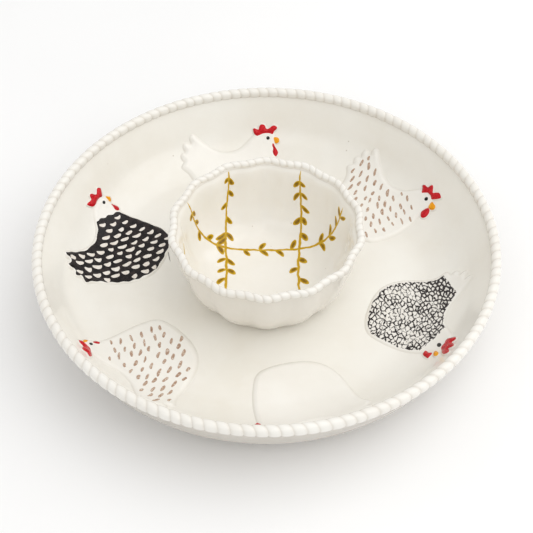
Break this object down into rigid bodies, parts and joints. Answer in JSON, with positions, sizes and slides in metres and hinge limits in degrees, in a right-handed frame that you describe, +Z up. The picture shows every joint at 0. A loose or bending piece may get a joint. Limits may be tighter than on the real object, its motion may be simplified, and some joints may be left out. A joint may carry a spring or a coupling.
{
  "type": "chip and dip server",
  "caption": "Round beaded-rim platter with relief hens around its well, and a loose lobed dip bowl standing in the centre.",
  "frame": {"origin": "centre of the flat foot ring, on the plane that the platter rests on", "axes": "+Z up through the centre of the dip bowl, -Y towards the front, +X to the right seen from the front"},
  "size_m": [0.33, 0.33, 0.0688],
  "materials": {
    "platter_glaze": "warm white gloss glaze",
    "bowl_glaze": "warm white gloss glaze with painted vines",
    "white_hen": "white gloss glaze",
    "brown_fleck_hen": "white gloss glaze with taupe brush flecks",
    "speckled_hen": "white gloss glaze with a black scale mesh",
    "black_hen": "black gloss glaze with cream scallops"
  },
  "bodies": {
    "platter": {"platter_body": "platter_glaze", "platter_bead_border": "platter_glaze", "hen_back_white": "white_hen", "hen_right_brown_fleck": "brown_fleck_hen", "hen_right_front_speckled": "speckled_hen", "hen_front_white": "white_hen", "hen_left_front_brown_fleck": "brown_fleck_hen", "hen_left_black_scalloped": "black_hen"},
    "dip_bowl": {"dip_bowl_shell": "bowl_glaze", "dip_bowl_bead_border": "bowl_glaze"}
  },
  "joints": [
    {"name": "bowl_lift", "type": "slide", "parent": "platter", "child": "dip_bowl", "axis": [0, 0, 1], "range_m": [0, 0.1]}
  ]
}
